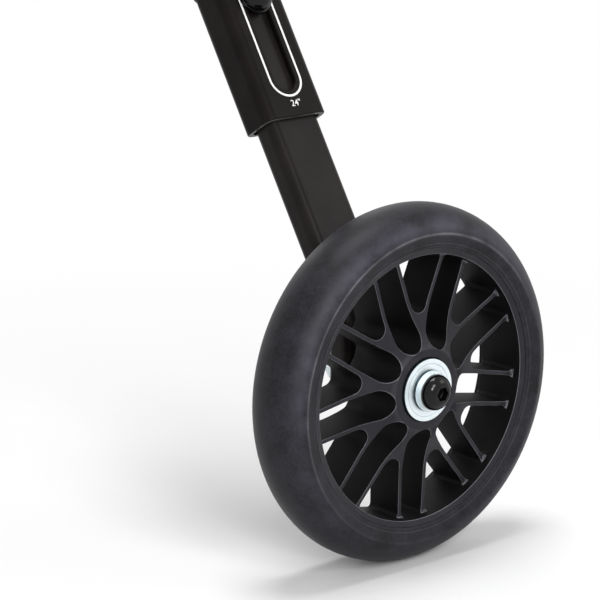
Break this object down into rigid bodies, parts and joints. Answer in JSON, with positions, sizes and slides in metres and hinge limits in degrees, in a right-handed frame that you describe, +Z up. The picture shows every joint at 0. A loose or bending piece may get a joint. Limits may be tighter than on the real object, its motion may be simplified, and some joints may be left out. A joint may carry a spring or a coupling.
{
  "type": "bicycle training wheel",
  "caption": "Bicycle training wheel: a spoked wheel with a solid tyre on a bent tube leg that slides and clamps in a slotted sleeve under an axle plate.",
  "frame": {"origin": "centre of the rear-axle hole, half way through the axle plate", "axes": "+Z up; +Y inboard along the bicycle's rear axle, so the wheel is on the -Y side; +X along the bicycle"},
  "size_m": [0.14, 0.1329, 0.2722],
  "materials": {
    "black_paint": "satin black paint",
    "black_bolt": "glossy black coating",
    "zinc_steel": "bright zinc plate",
    "black_rubber": "matt solid rubber",
    "black_plastic": "moulded, fine grain",
    "bush_plastic": "plain moulded acetal"
  },
  "bodies": {
    "sleeve": {"axle_plate": "black_paint", "sleeve_tube": "black_paint"},
    "leg": {"leg_tube": "black_paint", "leg_end_plug": "black_plastic", "axle_bolt": "black_bolt", "axle_spacer": "zinc_steel", "penny_washer_outboard": "zinc_steel", "plain_washer_outboard": "zinc_steel", "spring_washer": "zinc_steel", "penny_washer_inboard": "zinc_steel", "leg_standoff": "zinc_steel", "leg_crush_sleeve": "zinc_steel", "plain_washer_inboard": "zinc_steel", "axle_nut": "zinc_steel", "clamp_bolt": "black_bolt", "clamp_washer": "black_bolt", "clamp_nut": "zinc_steel"},
    "wheel": {"tyre": "black_rubber", "wheel_core": "black_plastic", "hub_bush_outboard": "bush_plastic", "hub_bush_inboard": "bush_plastic"}
  },
  "joints": [
    {"name": "leg_slide", "type": "slide", "parent": "sleeve", "child": "leg", "axis": [0, -0.5373, -0.8434], "range_m": [0, 0.0353]},
    {"name": "wheel_spin", "type": "hinge", "parent": "leg", "child": "wheel", "pos_m": [0, -0.10787, -0.18421], "axis": [0, 1, 0], "continuous": true}
  ]
}
